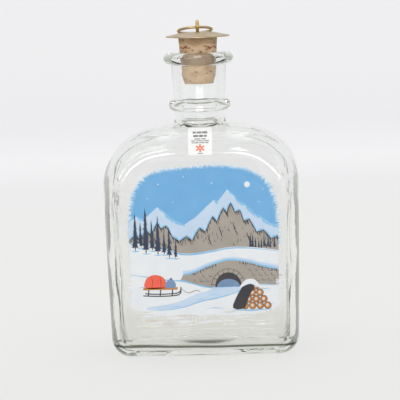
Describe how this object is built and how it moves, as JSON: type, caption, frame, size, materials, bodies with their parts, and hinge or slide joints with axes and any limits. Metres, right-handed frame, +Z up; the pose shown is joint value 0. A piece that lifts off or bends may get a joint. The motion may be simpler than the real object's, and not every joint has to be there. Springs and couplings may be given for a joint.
{
  "type": "corked glass dram bottle",
  "caption": "Empty clear glass bottle with an arched flat body and a short neck, shut by a cork with a brass disc, screw eye and swinging pull ring.",
  "frame": {"origin": "middle of the foot, on the plane that the bottle stands on", "axes": "+Z up along the neck, -Y out of the decorated front face, +X to the right of someone who looks at the front"},
  "size_m": [0.1404, 0.0662, 0.2403],
  "materials": {
    "clear_glass": "gloss",
    "cork": "matt, grainy",
    "satin_brass": "satin",
    "bright_brass": "polished",
    "sticker_paper": "coated paper"
  },
  "bodies": {
    "bottle": {"glass_bottle": "clear_glass", "cork": "cork", "cap_disc": "satin_brass", "screw_eye": "bright_brass", "label": "sticker_paper"},
    "pull_ring": {"pull_ring": "bright_brass"}
  },
  "joints": [
    {"name": "ring_swing", "type": "hinge", "parent": "bottle", "child": "pull_ring", "pos_m": [0, 0, 0.23505], "axis": [0.9816, 0.1908, 0], "range_deg": [0, 155.5]}
  ]
}
